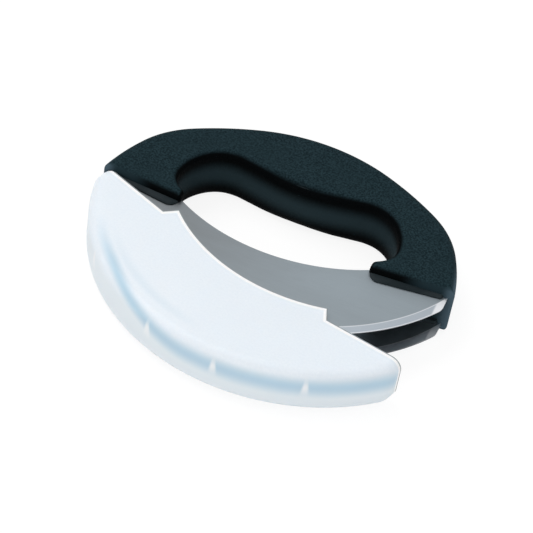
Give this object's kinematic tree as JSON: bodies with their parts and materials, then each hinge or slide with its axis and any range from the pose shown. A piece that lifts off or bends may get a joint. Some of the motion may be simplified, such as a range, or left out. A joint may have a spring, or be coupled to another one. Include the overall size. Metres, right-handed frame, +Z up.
{
  "type": "mezzaluna",
  "caption": "Mezzaluna with an arched soft grip, parallel crescent blades and a translucent blade guard that swings at the left heel.",
  "frame": {"origin": "middle of the grip band on its flat lower face, the face that the tool lies on", "axes": "+X to the right heel, +Y to the crown of the grip's arch, +Z up, square to the blades"},
  "size_m": [0.1868, 0.1654, 0.0288],
  "materials": {
    "soft_skin": "matte soft touch",
    "hard_core": "smooth satin",
    "spacer_plastic": "moulded",
    "blade_steel": "satin ground",
    "pin_steel": "drawn",
    "clear_guard": "translucent, smooth"
  },
  "bodies": {
    "handle": {"grip_skin_upper": "soft_skin", "grip_skin_lower": "soft_skin", "core_upper": "hard_core", "core_lower": "hard_core", "blade_upper": "blade_steel", "blade_lower": "blade_steel", "heel_spacer_right": "spacer_plastic", "heel_spacer_left": "spacer_plastic", "tang_pins": "pin_steel", "crown_dowels": "spacer_plastic"},
    "guard": {"blade_guard": "clear_guard"}
  },
  "joints": [
    {"name": "guard_swing", "type": "hinge", "parent": "handle", "child": "guard", "pos_m": [-0.0856, -0.0572, 0.0144], "axis": [0, 0, 1], "range_deg": [-12, 17.3]}
  ]
}
